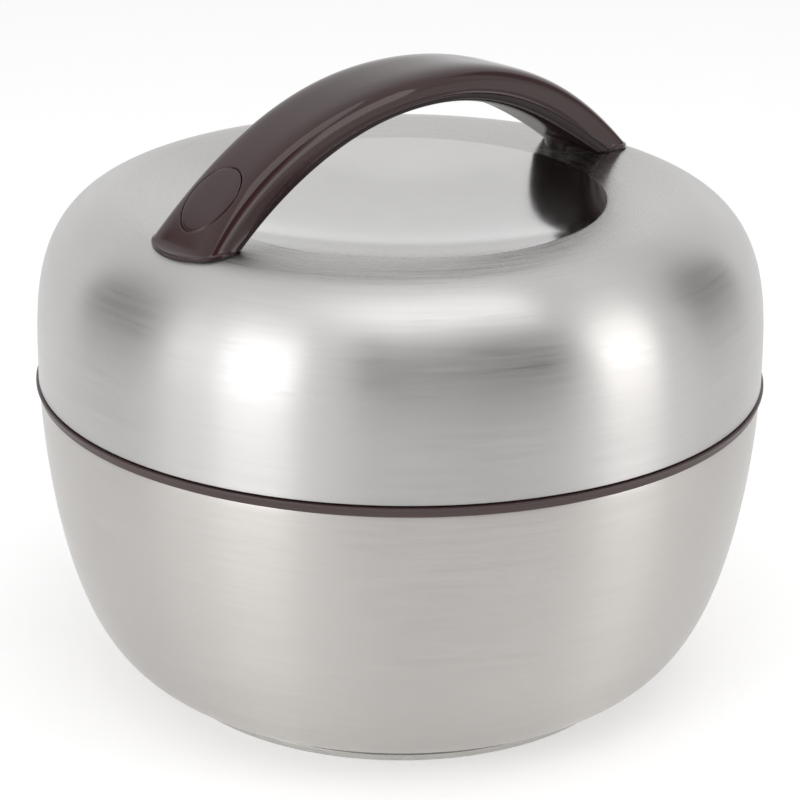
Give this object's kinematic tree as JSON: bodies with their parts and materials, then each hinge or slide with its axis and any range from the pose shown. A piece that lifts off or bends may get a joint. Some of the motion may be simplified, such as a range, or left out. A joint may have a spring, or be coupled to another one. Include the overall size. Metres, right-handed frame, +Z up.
{
  "type": "insulated lunch box",
  "caption": "Round steel insulated lunch box with a domed turn-and-lift lid, an arched brown carrying handle with a vent button, an inner bowl and a divided tray.",
  "frame": {"origin": "middle of the foot ring, on the plane that the box stands on", "axes": "+Z up through the lid, +X along the handle away from the foot that holds the vent button"},
  "size_m": [0.1806, 0.1806, 0.1563],
  "materials": {
    "lid_steel": "circumferential brushed grain, polished dish",
    "body_steel": "fine circumferential brushed grain",
    "base_steel": "satin",
    "liner_steel": "satin drawn sheet",
    "ware_steel": "satin with a polished bead",
    "fastener_steel": "plain machined",
    "handle_brown": "glossy dark brown moulding",
    "cover_brown": "glossy dark brown moulding",
    "button_brown": "glossy dark brown moulding",
    "collar_brown": "satin dark brown moulding",
    "ring_brown": "satin dark brown moulding",
    "ware_plastic": "satin off-white moulding",
    "guide_plastic": "satin natural moulding",
    "foam": "cellular foam",
    "silicone": "matte translucent silicone",
    "gasket": "matte black rubber"
  },
  "bodies": {
    "body": {"body_shell": "body_steel", "base_plate": "base_steel", "body_insulation": "foam", "body_liner": "liner_steel", "collar": "collar_brown"},
    "bowl": {"inner_bowl": "ware_steel"},
    "bowl_cover": {"bowl_lid": "ware_plastic", "bowl_lid_seal": "silicone"},
    "tray": {"food_tray": "ware_steel"},
    "divider": {"tray_divider": "ware_plastic"},
    "seal": {"lid_seal": "silicone"},
    "lid": {"lid_shell": "lid_steel", "lid_insulation": "foam", "lid_liner": "liner_steel", "lid_ring": "ring_brown", "handle_shell": "handle_brown", "handle_cover": "cover_brown", "foot_gaskets": "gasket", "backing_plates": "fastener_steel", "handle_screws": "fastener_steel", "vent_guide": "guide_plastic", "vent_spring": "fastener_steel"},
    "vent": {"vent_button": "button_brown", "vent_stem": "guide_plastic", "vent_valve": "silicone"}
  },
  "joints": [
    {"name": "lid_lift", "type": "slide", "parent": "body", "child": "seal", "axis": [0, 0, 1], "range_m": [0, 0.24]},
    {"name": "lid_turn", "type": "hinge", "parent": "seal", "child": "lid", "pos_m": [0, 0, 0.09], "axis": [0, 0, 1], "range_deg": [0, 35]},
    {"name": "vent_press", "type": "slide", "parent": "lid", "child": "vent", "axis": [0, 0, -1], "range_m": [0, 0.002], "stiffness_N_per_m": 900, "deforming": ["vent_spring"]},
    {"name": "bowl_lift", "type": "slide", "parent": "body", "child": "bowl", "axis": [0, 0, 1], "range_m": [0, 0.096]},
    {"name": "bowl_cover_lift", "type": "slide", "parent": "bowl", "child": "bowl_cover", "axis": [0, 0, 1], "range_m": [0, 0.0288]},
    {"name": "tray_lift", "type": "slide", "parent": "body", "child": "tray", "axis": [0, 0, 1], "range_m": [0, 0.1536]},
    {"name": "divider_lift", "type": "slide", "parent": "tray", "child": "divider", "axis": [0, 0, 1], "range_m": [0, 0.024]}
  ],
  "couplings": [
    {"joint": "bowl_lift", "follows": "lid_lift", "ratio": 0.4},
    {"joint": "bowl_cover_lift", "follows": "lid_lift", "ratio": 0.12},
    {"joint": "tray_lift", "follows": "lid_lift", "ratio": 0.64},
    {"joint": "divider_lift", "follows": "lid_lift", "ratio": 0.1}
  ]
}
